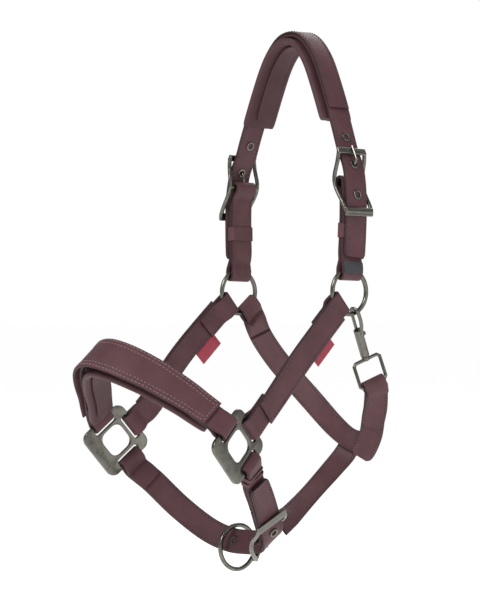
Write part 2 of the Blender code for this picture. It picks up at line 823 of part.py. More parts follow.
def snap_eye(group):
    """The swivel stem with its collar and the loop that holds the strap."""
    _, axis, spine, _ = snap_axes()
    collar = rod("snap_eye", 3.6, 4.0, frame_matrix(snap_point(BARREL_LENGTH + 2.5), spine, np.cross(axis, spine),
                                                    axis), "metal", group, sides=14)
    hub = snap_point(BARREL_LENGTH + 4.0)
    centre, bar = eye_bar()
    fall = unit(centre - hub)
    low = centre - bar * EYE_HALF
    high = centre + bar * EYE_HALF
    loop = [hub - bar * 2.0, hub - bar * (EYE_HALF - 2.2), hub - bar * EYE_HALF + fall * 2.2, low - fall * 2.0,
            low + bar * 2.0, high - bar * 2.0, high - fall * 2.0, hub + bar * EYE_HALF + fall * 2.2,
            hub + bar * (EYE_HALF - 2.2), hub + bar * 2.0]
    loop = wire("loop", loop, 1.8, "metal", scrap(), closed=True, resolution=2)
    return union(collar, loop)


def lead_ring(group):
    """The ring under the chin, which tips about the strap that it hangs from."""
    seat = np.array(LEAD_RING_CENTRE) + np.array([0.0, 0.0, ring_seat(CHIN_W)])
    return hinge_at(ring("lead_ring", LEAD_RING_CENTRE, group), seat)


# ---------------------------------------------------------------- assemblies

def build_crown(group):
    line = crown_line()
    tail = line.nearest((84.0, -5, -190.8))
    tails = (tail, line.length - tail)
    s_bar = line.nearest((82, -3.4, -122))
    s_plate = line.nearest((73, -2.5, -99))
    s_keeper = line.nearest((84.2, -4, -151))
    strap = ribbon("crown_strap", line.stations(*tails), CROWN_W, BILLET_T, "strap", group)
    second = line.nearest((78.5, -3, -109))
    for label, mirror in (("near", False), ("far", True)):
        def s_of(s, flipped=mirror):
            return line.length - s if flipped else s
        for number, shift in ((1, CROWN_EYELET_STEP), (2, 0.0), (3, -CROWN_EYELET_STEP)):
            s = s_of(second + shift)
            strap = punch(strap, line, s)
            eyelet(f"{label}_crown_eyelet_{number}", line, s, group, BILLET_T)
        plate, bar = s_of(s_plate), s_of(s_bar)
        buckle_frame(f"{label}_crown_buckle", line, plate, bar, s_of(s_keeper), group)
        buckle_tongue(f"{label}_crown_tongue", line, plate, bar, s_of(second), group)
        chape_out = -(BAR_IN - FOLD / 2)
        way = -1.0 if mirror else 1.0
        s_ring = s_of(0.0)
        middle = s_of((s_bar) / 2 - 3.0)
        stations = list(reversed(fold(line, s_ring, -way, chape_out, FOLD, ring_hold(CROWN_W),
                                      abs(middle - s_ring) - 1.0)))
        stations += line.stations(s_ring, s_of(s_bar), chape_out)
        stations += fold(line, s_of(s_bar), way, chape_out, FOLD, 2.5, abs(s_of(s_bar) - middle) - 1.0)
        chape = ribbon(f"{label}_crown_chape", stations, CROWN_W - 1, STRAP_T, "strap", group)
        slot_for_tongue(chape, line, s_of(s_bar), way)
    overlay_end = line.nearest((56, -1.2, -59))
    over = (BILLET_T + CROWN_OVERLAY_T) / 2 + GAP
    ribbon("crown_overlay", line.stations(overlay_end, line.length - overlay_end, over),
           CROWN_W - 0.8, CROWN_OVERLAY_T, "strap", group)
    pad_end = line.nearest((59.5, -1.5, -67))
    under = -((BILLET_T + PAD_T) / 2 + GAP)
    ribbon("crown_pad", line.stations(pad_end, line.length - pad_end, under), PAD_W, PAD_T, "pad", group)
    cushion = under - (PAD_T + CUSHION_T) / 2 - GAP
    ribbon("poll_cushion", line.stations(pad_end + 8, line.length - pad_end - 8, cushion),
           17.0, CUSHION_T, "pad", group)
    on_chape = -(BAR_IN - FOLD / 2) + STRAP_T / 2 + GAP + 0.3
    ribbon("size_label", line.stations(0.6, 12.6, on_chape, step=3.0), CROWN_W - 2, LABEL_T, "label", group)


def build_noseband(group):
    line = noseband_line()
    start, end = 0.0, line.length
    stations = list(reversed(fold(line, start, -1.0, 0.0, SQUARE_FOLD, 2.5, SQUARE_BACK)))
    stations += line.stations(start, end)
    stations += fold(line, end, 1.0, 0.0, SQUARE_FOLD, 2.5, SQUARE_BACK)
    ribbon("noseband_strap", stations, 22.0, STRAP_T, "strap", group)

    def widths(first, last, at_end, at_middle):
        made = []
        count = max(2, int(round(abs(last - first) / STEP)) + 1)
        for s in np.linspace(first, last, count):
            t = math.sin(math.pi * s / line.length) ** 1.2
            made.append(at_end + (at_middle - at_end) * t)
        return made

    over = (STRAP_T + OVERLAY_T) / 2 + GAP
    s0 = 15.0
    ribbon("noseband_overlay", line.stations(s0, end - s0, over), widths(s0, end - s0, NOSE_END_W, NOSE_MID_W),
           OVERLAY_T, "strap", group)
    under = -(STRAP_T / 2 + LAYERS + NOSE_PAD_T / 2 + GAP)
    s1 = 13.0
    ribbon("noseband_pad", line.stations(s1, end - s1, under), widths(s1, end - s1, NOSE_END_W, NOSE_MID_W),
           NOSE_PAD_T, "pad", group)
    s2 = 20.0
    cushion = under - (NOSE_PAD_T + CUSHION_T) / 2 - GAP
    ribbon("noseband_cushion", line.stations(s2, end - s2, cushion),
           widths(s2, end - s2, 16.0, 20.0), CUSHION_T, "pad", group)


def build_chin(group):
    line = chin_line()
    s_keeper = line.nearest((63.5, -86.0, -417.5))
    s_bar = line.nearest((48.5, -71.5, -437.0))
    s_plate = line.nearest((20, -64.5, -442.0))
    tail = line.nearest((80.7, -111.5, -385.3))
    stations = line.stations(tail, line.length, step=5.0)
    stations += fold(line, line.length, 1.0, 0.0, SQUARE_FOLD, 3.0, 32.0)
    billet = ribbon("chin_strap", stations, CHIN_W, STRAP_T, "strap", group)
    eyelets = (line.nearest((-7, -67, -441.5)), s_plate - 8.4, (s_bar + s_keeper) / 2)
    for number, s in enumerate(eyelets, 1):
        billet = punch(billet, line, s)
        eyelet(f"chin_eyelet_{number}", line, s, group, STRAP_T)
    buckle_frame("chin_buckle", line, s_plate, s_bar, s_keeper, group)
    buckle_tongue("chin_tongue", line, s_plate, s_bar, eyelets[1], group)
    chape_out = -(BAR_IN - FOLD / 2)
    middle = s_bar * 0.55
    stations = list(reversed(fold(line, 0.0, -1.0, chape_out, SQUARE_FOLD, 3.0, middle - 1.0)))
    stations += line.stations(0.0, s_bar, chape_out, step=5.0)
    stations += fold(line, s_bar, 1.0, chape_out, FOLD, 3.5, s_bar - middle - 1.0)
    chape = ribbon("chin_chape", stations, CHIN_W - 1, STRAP_T, "strap", group)
    slot_for_tongue(chape, line, s_bar, 1.0)


def build_cheeks(group):
    for label, side in (("near", 1.0), ("far", -1.0)):
        line = cheek_line(side)
        end = line.length
        stations = list(reversed(fold(line, 0.0, -1.0, 0.0, FOLD, ring_hold(CHEEK_W), RING_BACK)))
        stations += line.stations(0.0, end)
        stations += fold(line, end, 1.0, 0.0, SQUARE_FOLD, 2.5, SQUARE_BACK)
        ribbon(f"{label}_cheek_strap", stations, CHEEK_W, STRAP_T, "strap", group)
        over = (STRAP_T + OVERLAY_T) / 2 + GAP
        ribbon(f"{label}_cheek_overlay", line.stations(9.0, end - 16.0, over), CHEEK_OVERLAY_W, OVERLAY_T,
               "strap", group)
        s_tab, tab_w = TABS[label]
        _, tangent, across, _ = line.frame(s_tab)
        rear = 1.0 if np.dot(across, (0, 1, 0)) > 0 else -1.0
        middle = line.point(s_tab, 0.0, rear * (CHEEK_W + tab_w + 2 * GAP) / 2)
        block(f"{label}_side_tab", (tab_w, TAB_LENGTH, TAB_T),
              frame_matrix(middle, across, tangent, np.cross(across, tangent)), "tab", group)
        halter_square(f"{label}_halter_square", side, group)
        ring(f"{label}_ring", ring_centre(side), group)


def build_throat(group):
    line = far_throat_line()
    stations = list(reversed(fold(line, 0.0, -1.0, 0.0, FOLD, ring_hold(CHEEK_W), RING_BACK)))
    stations += line.stations(0.0, line.length)
    ribbon("far_throat_strap", stations, CHEEK_W, STRAP_T, "strap", group)
    line = near_throat_line()
    stations = line.stations(0.0, line.length)
    stations += fold(line, line.length, 1.0, 0.0, FOLD, 3.0, THROAT_BACK)
    ribbon("near_throat_strap", stations, THROAT_W, STRAP_T, "strap", group)
    line = jaw_line()
    ribbon("jaw_strap", line.stations(0.0, line.length), THROAT_W, STRAP_T, "strap", group)


def build_snap(group):
    snap_body(group)
    snap_bolt(group)
    snap_spring(group)
    snap_eye(group)


def main():
    clear_scene()
    group = collection("leather_headcollar")
    build_crown(group)
    build_noseband(group)
    build_chin(group)
    build_cheeks(group)
    build_throat(group)
    lead_ring(group)
    build_snap(group)
    bpy.data.collections.remove(scrap())


main()
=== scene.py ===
"""Looks of the leather headcollar: sewn straps, padded crown and noseband, gunmetal fittings.

Lengths are millimetres and become metres through MM. The straps' runs are the CAD part's.
"""

import json
import math
import random

import bmesh
import bpy
import numpy as np
from mathutils import Matrix, Vector


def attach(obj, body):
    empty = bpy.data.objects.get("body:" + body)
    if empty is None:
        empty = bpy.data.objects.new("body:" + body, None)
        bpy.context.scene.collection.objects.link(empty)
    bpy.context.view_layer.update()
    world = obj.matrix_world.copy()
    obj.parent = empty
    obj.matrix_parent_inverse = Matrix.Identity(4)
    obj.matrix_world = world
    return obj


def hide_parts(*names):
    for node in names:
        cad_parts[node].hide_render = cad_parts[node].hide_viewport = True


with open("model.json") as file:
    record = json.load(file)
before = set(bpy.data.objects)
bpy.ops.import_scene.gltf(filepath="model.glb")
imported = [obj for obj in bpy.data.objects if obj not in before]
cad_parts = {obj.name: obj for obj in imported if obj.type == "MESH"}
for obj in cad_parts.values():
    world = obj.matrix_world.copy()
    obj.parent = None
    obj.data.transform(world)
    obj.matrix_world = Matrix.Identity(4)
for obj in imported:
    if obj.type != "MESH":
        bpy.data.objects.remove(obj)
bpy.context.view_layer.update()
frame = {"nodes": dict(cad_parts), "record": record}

MM = 0.001
GAP = 0.35
RANDOM = random.Random(7)

# Straps, as in the CAD part
STRAP_T = 3.0
BILLET_T = 3.4
CROWN_W = 23.5
CHIN_W = 22.5
CHEEK_W = 21.0
CHEEK_OVERLAY_W = 23.0
THROAT_W = 21.0
NOSE_STRAP_W = 22.0
FOLD = 7.8
LAYERS = 3.4
STEP = 2.5            # spacing of the cross-sections along a strap

# Pads
PAD_T = 6.6
PAD_W = 36.0
CUSHION_T = 1.9
CUSHION_W = 17.0
NOSE_PAD_T = 6.5
NOSE_END_W = 25.0
NOSE_MID_W = 35.0

# Rings
RING_R = 19.7
RING_WIRE = 2.05
RING_CENTRE = (77.5, -6.0, -220.6)
LEAD_RING_CENTRE = (-9.0, -62.5, -448.4)
THROAT_END = (67.9, 29.9, -301.9)

# Halter squares
NEAR_SQUARE_CENTRE = (87.0, -140.0, -351.0)
FAR_SQUARE_CENTRE = (-87.0, -140.0, -353.5)
SQUARE_SPLAY = 10.0
NEAR_SQUARE_TILT = 43.5
FAR_SQUARE_TILT = 40.5
SQUARE_T = 3.2
OPENING = 12.0
SLOT_IN = 15.0
SLOT_OUT = 20.8
SLOT_HALF = 11.9
BAR_AT = 22.5
SQUARE_HALF = 24.4
BRAND_HALF = 25.5
SQUARE_FOLD = 8.4
NOSE_LEAN = 40.0
CHIN_LEAN = 27.0
BAR_IN = 9.0

TABS = {"near": (45.0, 9.0), "far": (43.0, 13.0)}
TAB_LENGTH = 27.0
TAB_T = 1.2

# Stitching
STITCH = 2.3
PITCH = 3.5
THREAD_R = 0.42
EDGE_INSET = 2.3


# ---------------------------------------------------------------- materials

def node(tree, kind, **sockets):
    made = tree.nodes.new(kind)
    for name, value in sockets.items():
        made.inputs[name.replace("_", " ")].default_value = value
    return made


def fresh(name):
    mat = bpy.data.materials.new(name)
    mat.use_nodes = True
    tree = mat.node_tree
    return mat, tree, tree.nodes["Principled BSDF"], tree.nodes.new("ShaderNodeTexCoord")


def mixed(tree, factor, low, high):
    """A colour between low and high by a 0 to 1 factor."""
    ramp = tree.nodes.new("ShaderNodeValToRGB")
    ramp.color_ramp.elements[0].position = 0.3
    ramp.color_ramp.elements[1].position = 0.7
    ramp.color_ramp.elements[0].color = (*low, 1.0)
    ramp.color_ramp.elements[1].color = (*high, 1.0)
    tree.links.new(factor, ramp.inputs["Fac"])
    return ramp.outputs["Color"]


def leather(name, low, high, rough, grain=0.25):
    """Fine pebbled leather with slow colour changes, pores and a soft sheen."""
    mat, tree, shader, coord = fresh(name)
    place = coord.outputs["Object"]
    cloudy = node(tree, "ShaderNodeTexNoise", Scale=45.0, Detail=5.0, Roughness=0.6)
    pebble = node(tree, "ShaderNodeTexVoronoi", Scale=1300.0)
    crease = node(tree, "ShaderNodeTexNoise", Scale=420.0, Detail=6.0, Roughness=0.65)
    for texture in (cloudy, pebble, crease):
        tree.links.new(place, texture.inputs["Vector"])
    tree.links.new(mixed(tree, cloudy.outputs["Fac"], low, high), shader.inputs["Base Color"])
    gloss = node(tree, "ShaderNodeMapRange")
    gloss.inputs["To Min"].default_value = rough - 0.07
    gloss.inputs["To Max"].default_value = rough + 0.08
    tree.links.new(crease.outputs["Fac"], gloss.inputs["Value"])
    tree.links.new(gloss.outputs["Result"], shader.inputs["Roughness"])
    total = tree.nodes.new("ShaderNodeMath")
    total.operation = "ADD"
    tree.links.new(pebble.outputs["Distance"], total.inputs[0])
    tree.links.new(crease.outputs["Fac"], total.inputs[1])
    bump = node(tree, "ShaderNodeBump", Strength=grain, Distance=0.00025)
    tree.links.new(total.outputs["Value"], bump.inputs["Height"])
    tree.links.new(bump.outputs["Normal"], shader.inputs["Normal"])
    shader.inputs["Specular IOR Level"].default_value = 0.22
    return mat


def gunmetal(name, low, high, rough):
    """Plated cast metal: polished, with faint streaks and handling marks."""
    mat, tree, shader, coord = fresh(name)
    marks = node(tree, "ShaderNodeTexNoise", Scale=160.0, Detail=6.0, Roughness=0.6)
    fine = node(tree, "ShaderNodeTexNoise", Scale=1500.0, Detail=3.0)
    for texture in (marks, fine):
        tree.links.new(coord.outputs["Object"], texture.inputs["Vector"])
    tree.links.new(mixed(tree, marks.outputs["Fac"], low, high), shader.inputs["Base Color"])
    gloss = node(tree, "ShaderNodeMapRange")
    gloss.inputs["To Min"].default_value = rough - 0.06
    gloss.inputs["To Max"].default_value = rough + 0.10
    tree.links.new(marks.outputs["Fac"], gloss.inputs["Value"])
    tree.links.new(gloss.outputs["Result"], shader.inputs["Roughness"])
    bump = node(tree, "ShaderNodeBump", Strength=0.06, Distance=0.0001)
    tree.links.new(fine.outputs["Fac"], bump.inputs["Height"])
    tree.links.new(bump.outputs["Normal"], shader.inputs["Normal"])
    shader.inputs["Metallic"].default_value = 1.0
    return mat


def woven(name, low, high):
    """Close woven tape: crossed threads in colour and relief."""
    mat, tree, shader, coord = fresh(name)
    both = tree.nodes.new("ShaderNodeMath")
    both.operation = "MULTIPLY"
    for index, direction in enumerate(("Y", "Z")):
        wave = node(tree, "ShaderNodeTexWave", Scale=420.0, Distortion=0.4)
        wave.bands_direction = direction
        tree.links.new(coord.outputs["Object"], wave.inputs["Vector"])
        tree.links.new(wave.outputs["Fac"], both.inputs[index])
    tree.links.new(mixed(tree, both.outputs["Value"], low, high), shader.inputs["Base Color"])
    bump = node(tree, "ShaderNodeBump", Strength=0.4, Distance=0.0002)
    tree.links.new(both.outputs["Value"], bump.inputs["Height"])
    tree.links.new(bump.outputs["Normal"], shader.inputs["Normal"])
    shader.inputs["Roughness"].default_value = 0.75
    shader.inputs["Sheen Weight"].default_value = 0.3
    return mat


LOOKS = {
    "strap": leather("strap_leather", (0.068, 0.028, 0.033), (0.094, 0.041, 0.047), 0.54),
    # painted shade: a darker leather for the strap edges and cut ends, darkening them as shade would
    "edge": leather("strap_edge_painted_shade", (0.030, 0.013, 0.015), (0.044, 0.019, 0.022), 0.60, 0.12),
    "pad": leather("pad_leather", (0.054, 0.023, 0.027), (0.070, 0.031, 0.035), 0.60, 0.30),
    "thread": woven("thread_dark", (0.014, 0.006, 0.007), (0.030, 0.014, 0.016)),
    "thread_light": woven("thread_light", (0.150, 0.080, 0.085), (0.260, 0.160, 0.165)),
    "tab": woven("tab_weave", (0.27, 0.018, 0.040), (0.36, 0.030, 0.060)),
    "label": woven("label_weave", (0.010, 0.011, 0.016), (0.022, 0.024, 0.034)),
    "metal": gunmetal("gunmetal", (0.105, 0.102, 0.088), (0.165, 0.160, 0.138), 0.26),
    "spring": gunmetal("spring_wire", (0.40, 0.40, 0.40), (0.52, 0.52, 0.52), 0.25),
}


# ---------------------------------------------------------------- mesh helpers

def finished(name, bm, look, body, replaced=(), extra=None, sharp=40.0):
    """A mesh piece with its look, riding on a body and standing for CAD nodes."""
    bmesh.ops.recalc_face_normals(bm, faces=bm.faces)
    mesh = bpy.data.meshes.new(name)
    bm.to_mesh(mesh)
    bm.free()
    mesh.materials.append(LOOKS[look])
    if extra:
        mesh.materials.append(LOOKS[extra])
    for face in mesh.polygons:
        face.use_smooth = True
    mesh.set_sharp_from_angle(angle=math.radians(sharp))
    obj = bpy.data.objects.new(name, mesh)
    bpy.context.scene.collection.objects.link(obj)
    if replaced:
        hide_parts(*replaced)
    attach(obj, body)
    return obj


def unit(v):
    v = np.asarray(v, float)
    return v / np.linalg.norm(v)


def smooth(controls, per_span=12):
    """Catmull-Rom through rows of numbers."""
    rows = np.array(controls, float)
    padded = np.vstack([2 * rows[0] - rows[1], rows, 2 * rows[-1] - rows[-2]])
    out = []
    for i in range(1, len(padded) - 2):
        a, b, c, d = padded[i - 1:i + 3]
        for k in range(per_span):
            t = k / per_span
            out.append(0.5 * (2 * b + (c - a) * t + (2 * a - 5 * b + 4 * c - d) * t * t
                              + (3 * b - a - 3 * c + d) * t ** 3))
    out.append(rows[-1])
    return np.array(out)


class Line:
    """A strap's run: middle, across direction and outward normal at any distance along it."""

    def __init__(self, controls, side=1.0):
        rows = smooth([(*position, *unit(across)) for position, across in controls])
        lengths = np.linalg.norm(np.diff(rows[:, :3], axis=0), axis=1)
        self.at_row = np.concatenate([[0.0], np.cumsum(lengths)])
        self.rows = rows
        self.side = side
        self.length = float(self.at_row[-1])

    def raw(self, s):
        return np.array([np.interp(s, self.at_row, self.rows[:, k]) for k in range(6)])

    def frame(self, s):
        """(position, tangent, across, outward normal) at distance s."""
        here = self.raw(s)
        low = max(s - 1.0, 0.0)
        high = min(s + 1.0, self.length)
        tangent = unit(self.raw(high)[:3] - self.raw(low)[:3])
        across = unit(here[3:] - np.dot(here[3:], tangent) * tangent)
        return here[:3], tangent, across, self.side * np.cross(tangent, across)

    def point(self, s, out=0.0, sideways=0.0):
        position, _, across, normal = self.frame(s)
        return position + normal * out + across * sideways

    def nearest(self, target):
        gaps = np.linalg.norm(self.rows[:, :3] - np.asarray(target, float), axis=1)
        return float(self.at_row[int(np.argmin(gaps))])

    def stations(self, start, end, out=0.0, step=STEP):
        """(middle, across) pairs from start to end, offset outward."""
        count = max(2, int(round(abs(end - start) / step)) + 1)
        return [(self.point(s, out), self.frame(s)[2]) for s in np.linspace(start, end, count)]


def fold(line, s_end, forward, out, gap, hold, back, layers=LAYERS):
    """Stations round a bar at s_end and back along the inner side of the strap."""
    position, tangent, across, normal = line.frame(s_end)
    tangent = tangent * forward
    centre = position + normal * (out - gap / 2)
    turns = 14
    made = []
    for k in range(1, turns):
        angle = math.pi * k / turns
        made.append((centre + gap / 2 * (normal * math.cos(angle) + tangent * math.sin(angle)), across))
    taper = 9.0
    for u in np.linspace(0.0, back, max(3, int(back / STEP) + 1)):
        part = min(max((u - hold) / taper, 0.0), 1.0)
        part = part * part * (3 - 2 * part)
        depth = gap + (layers - gap) * part
        s = s_end - forward * u
        made.append((line.point(s, out - depth), line.frame(s)[2]))
    return made


def section(width, thickness, radius, crown, inset):
    """Outline of a strap's cross-section: rounded corners, a slightly crowned face."""
    half_w, half_t = width / 2, thickness / 2
    radius = min(radius, half_t * 0.98)
    points = []
    for (cx, cy), start in (((half_w, half_t), 0), ((-half_w, half_t), 90), ((-half_w, -half_t), 180),
                            ((half_w, -half_t), 270)):
        x0 = cx - math.copysign(radius, cx)
        y0 = cy - math.copysign(radius, cy)
        for k in range(4):
            angle = math.radians(start + 30 * k)
            points.append((x0 + radius * math.cos(angle), y0 + radius * math.sin(angle)))
        if start in (0, 180):
            top = 1.0 if start == 0 else -1.0
            for part in (0.86, 0.72, 0.58, 0.3, 0.0, -0.3, -0.58, -0.72, -0.86):
                u = part * top * (half_w - radius)
                rise = crown * (1 - part ** 2)
                groove = -inset if abs(abs(part) - 0.72) < 0.02 else 0.0
                points.append((u, top * (half_t + rise + groove)))
    return points


EDGE_SHADE_FACES = {0, 1, 14, 15, 16, 17, 18, 31, 32, 33}    # the faces of a section that form its two edges, given the darker material as painted shade along the edges


def strap(name, stations, widths, thickness, body, replaced, look="strap", radius=1.0, crown=0.0,
          inset=0.0, tuck=0.0):
    """A strap lofted through (middle, across) stations, its ends and edges rounded."""
    count = len(stations)
    if not hasattr(widths, "__len__"):
        widths = [widths] * count
    widths = np.interp(np.linspace(0, 1, count), np.linspace(0, 1, len(widths)), widths)
    middles = np.array([middle for middle, _ in stations])
    bm = bmesh.new()
    rows = []
    for i, (middle, across) in enumerate(stations):
        tangent = unit(middles[min(i + 1, count - 1)] - middles[max(i - 1, 0)])
        normal = unit(np.cross(tangent, across))
        from_end = min(i, count - 1 - i)
        narrow = tuck * math.exp(-from_end * 1.2)
        outline = section(widths[i] - narrow, thickness * (1.0 if from_end else 0.86), radius, crown, inset)
        rows.append([bm.verts.new(Vector((middle + across * u + normal * v) * MM)) for u, v in outline])
    sides = len(rows[0])
    for one, two in zip(rows, rows[1:]):
        for k in range(sides):
            face = bm.faces.new((one[k], one[(k + 1) % sides], two[(k + 1) % sides], two[k]))
            # edge faces take the darker material, painted shade along the strap's edges
            if k in EDGE_SHADE_FACES:
                face.material_index = 1
    # the cut ends take the same darker material, painted shade
    for row in (rows[0], rows[-1]):
        bm.faces.new(row).material_index = 1
    # plain straps take the darker painted-shade edge material as their second material
    return finished(name, bm, look, body, replaced, "edge" if look == "strap" else look)


def stitches(name, runs, body, look="thread"):
    """Rows of short thread loops. Each run is a list of (position, normal) along the seam."""
    bm = bmesh.new()
    ring = 6
    for seam in runs:
        points = np.array([position for position, _ in seam])
        normals = np.array([normal for _, normal in seam])
        travelled = np.concatenate([[0], np.cumsum(np.linalg.norm(np.diff(points, axis=0), axis=1))])

        def at(s, travelled=travelled, points=points, normals=normals):
            here = np.array([np.interp(s, travelled, points[:, k]) for k in range(3)])
            up = unit([np.interp(s, travelled, normals[:, k]) for k in range(3)])
            return here, up
        start = 0.8
        while start + STITCH < travelled[-1]:
            slack = RANDOM.uniform(-0.15, 0.15)
            rings = []
            for part, rise in ((0.0, -0.45), (0.14, 0.05), (0.5, 0.26), (0.86, 0.05), (1.0, -0.45)):
                here, up = at(start + STITCH * part + slack)
                ahead, _ = at(start + STITCH * part + slack + 0.2)
                along = unit(ahead - here)
                sideways = np.cross(along, up)
                loop = []
                for k in range(ring):
                    angle = 2 * math.pi * k / ring
                    offset = (math.cos(angle) * up + math.sin(angle) * sideways) * THREAD_R
                    loop.append(bm.verts.new(Vector((here + up * rise + offset) * MM)))
                rings.append(loop)
            for one, two in zip(rings, rings[1:]):
                for k in range(ring):
                    bm.faces.new((one[k], one[(k + 1) % ring], two[(k + 1) % ring], two[k]))
            bm.faces.new(rings[0])
            bm.faces.new(rings[-1])
            start += PITCH
    return finished(name, bm, look, body)


def seam(line, start, end, sideways, out):
    """Points along a line at a sideways offset, with the outward normal."""
    places = np.linspace(start, end, max(3, int(abs(end - start) / 2.0)))
    if not callable(sideways):
        fixed = sideways

        def sideways(_s):
            return fixed
    return [(line.point(s, out, sideways(s)), line.frame(s)[3]) for s in places]


def both_faces(line, start, end, half, out, back):
    """Two rows along the edges, seen on the outer face at out and the inner face at back."""
    rows = []
    for sign in (1, -1):
        rows.append(seam(line, start, end, sign * half, out))
        rows.append([(place, -normal) for place, normal in seam(line, start, end, sign * half, back)])
    return rows


def keeper(name, line, s, out_low, out_high, width, band, body, thickness=1.2):
    """A sewn leather loop round a strap, between two depths of the line."""
    half = width / 2 + thickness / 2 + 0.15
    middle = (out_low + out_high) / 2
    tall = (out_high - out_low) / 2 + thickness / 2 + 0.15
    corner = 1.6
    run = []
    for x, y, start in ((half, tall, 0), (-half, tall, 90), (-half, -tall, 180), (half, -tall, 270)):
        for k in range(6):
            angle = math.radians(start + 18 * k)
            u = x - math.copysign(corner, x) + corner * math.cos(angle)
            v = y - math.copysign(corner, y) + corner * math.sin(angle)
            run.append((line.point(s, middle + v, u), line.frame(s)[1]))
    run.append(run[0])
    return strap(name, run, band, thickness, body, (), radius=0.5)


def torus(name, centre, body, replaced):
    bm = bmesh.new()
    around, tube = 96, 20
    rows = []
    for i in range(around):
        a = 2 * math.pi * i / around
        way = np.array([0.0, math.cos(a), math.sin(a)])
        rows.append([bm.verts.new(Vector((np.array(centre) + way * (RING_R + RING_WIRE * math.cos(b))
                                          + np.array([RING_WIRE * math.sin(b), 0, 0])) * MM))
                     for b in (2 * math.pi * k / tube for k in range(tube))])
    for i in range(around):
        one, two = rows[i], rows[(i + 1) % around]
        for k in range(tube):
            bm.faces.new((one[k], one[(k + 1) % tube], two[(k + 1) % tube], two[k]))
    return finished(name, bm, "metal", body, replaced, sharp=180)


# ---------------------------------------------------------------- where the straps run

def mirrored(point):
    return (-point[0], point[1], point[2])


def ring_seat(width):
    reach = math.sqrt(RING_R ** 2 - (width / 2 + 0.6) ** 2)
    return reach - RING_WIRE - GAP + (FOLD - STRAP_T) / 2


def ring_hold(width):
    return RING_R + RING_WIRE + GAP + 0.8 - ring_seat(width)


def square_frame(side):
    """Centre and axes of a halter square: towards the cheek, towards the nose, outward."""
    splay = math.radians(SQUARE_SPLAY)
    tilt = math.radians(NEAR_SQUARE_TILT if side > 0 else FAR_SQUARE_TILT)
    centre = np.array(NEAR_SQUARE_CENTRE if side > 0 else FAR_SQUARE_CENTRE)
    level = np.array([-math.sin(splay) * side, math.cos(splay), 0.0])
    up = np.array([0.0, 0.0, 1.0])
    cheek = math.cos(tilt) * level + math.sin(tilt) * up
    nose = -math.sin(tilt) * level + math.cos(tilt) * up
    out = np.array([math.cos(splay) * side, math.sin(splay), 0.0])
    return centre, cheek, nose, out


CROWN_HALF = [
    (0, 0, 11.0), (12, 0, 8.7), (23, 0, 0.8), (34.5, -0.3, -13.5), (45.5, -0.7, -35), (56, -1.2, -58.5),
    (65, -2, -80), (71, -2.4, -95), (78.5, -3, -109), (82, -3.4, -122), (83.8, -3.8, -136),
    (84.2, -4, -152), (83.6, -4.3, -172), (83.0, -4.6, -186), (84.5, -5.2, -192.5),
    (86.3, -5.8, RING_CENTRE[2] + ring_seat(CROWN_W) + 6.5),
    (86.5, -6, RING_CENTRE[2] + ring_seat(CROWN_W)),
]


def crown_line():
    near = list(reversed(CROWN_HALF))
    far = [mirrored(p) for p in CROWN_HALF[1:]]
    return Line([(p, (0, 1, 0)) for p in near + far], side=-1.0)


def bar_point(side, axis, offset, out):
    centre, cheek, nose, normal = square_frame(side)
    return centre + (cheek if axis == "cheek" else nose) * offset + normal * out


def straight_end(point, away, across, reach=12.0):
    return [(tuple(point + away * reach * part), across) for part in (0.0, 0.5, 1.0)]


def noseband_line():
    half = [(76.0, -172.5, -317.0), (65.5, -181.5, -307.5), (47.0, -198.5, -292.5),
            (28.0, -212.5, -281.5), (12.0, -219.5, -276.0)]
    lean = math.radians(NOSE_LEAN)
    face = unit((0.0, 0.75, 0.66))

    def side_controls(side):
        centre, cheek, nose, normal = square_frame(side)
        outward = math.cos(lean) * normal + math.sin(lean) * nose
        leaving = math.cos(lean) * nose - math.sin(lean) * normal
        controls = straight_end(centre + nose * BAR_AT + outward * (SQUARE_FOLD / 2), leaving, cheek)
        for k, (x, y, z) in enumerate(half):
            t = min(1.0, (k + 1) / 4)
            controls.append(((x * side, y, z), cheek * (1 - t) + face * t))
        return controls

    middle = [((0.0, -221.0, -274.6), face)]
    return Line(side_controls(1.0) + middle + list(reversed(side_controls(-1.0))), side=-1.0)


def chin_line():
    chape_out = BAR_IN - FOLD / 2
    centre, cheek, nose, normal = square_frame(1.0)
    _, far_cheek, far_nose, _ = square_frame(-1.0)
    lean = math.radians(CHIN_LEAN)
    outward = math.cos(lean) * normal - math.sin(lean) * nose
    leaving = -math.cos(lean) * nose - math.sin(lean) * normal
    start = centre - nose * BAR_AT + outward * (SQUARE_FOLD / 2 + chape_out)
    end = bar_point(-1.0, "nose", -BAR_AT, SQUARE_FOLD / 2)
    return Line([
        *straight_end(start, leaving, cheek, 9.0),
        ((80.7, -111.5, -385.3), (0.02, 0.78, 0.62)),
        ((72.4, -98.7, -401.0), (0.10, 0.82, 0.57)),
        ((63.5, -86.0, -417.5), (0.17, 0.84, 0.51)),
        ((57.0, -77.0, -430.0), (0.20, 0.80, 0.56)),
        ((46.0, -70.0, -438.5), (0.18, 0.70, 0.68)),
        ((27, -64.5, -441.5), (0.12, 0.50, 0.85)),
        ((8, -65.0, -442.5), (0.03, 0.40, 0.91)),
        ((-12, -68.0, -441.8), (0.0, 0.42, 0.90)),
        ((-34, -76.5, -433.5), (0.25, 0.44, 0.86)),
        ((-56, -92, -414), (0.36, 0.48, 0.80)),
        ((-74, -108.5, -391), (0.32, 0.58, 0.75)),
        *reversed(straight_end(end, -far_nose, far_cheek)),
    ], side=1.0)


def ring_centre(side):
    return np.array([RING_CENTRE[0] * side, RING_CENTRE[1], RING_CENTRE[2]])


def radial(degrees):
    angle = math.radians(degrees)
    return np.array([0.0, math.cos(angle), math.sin(angle)])


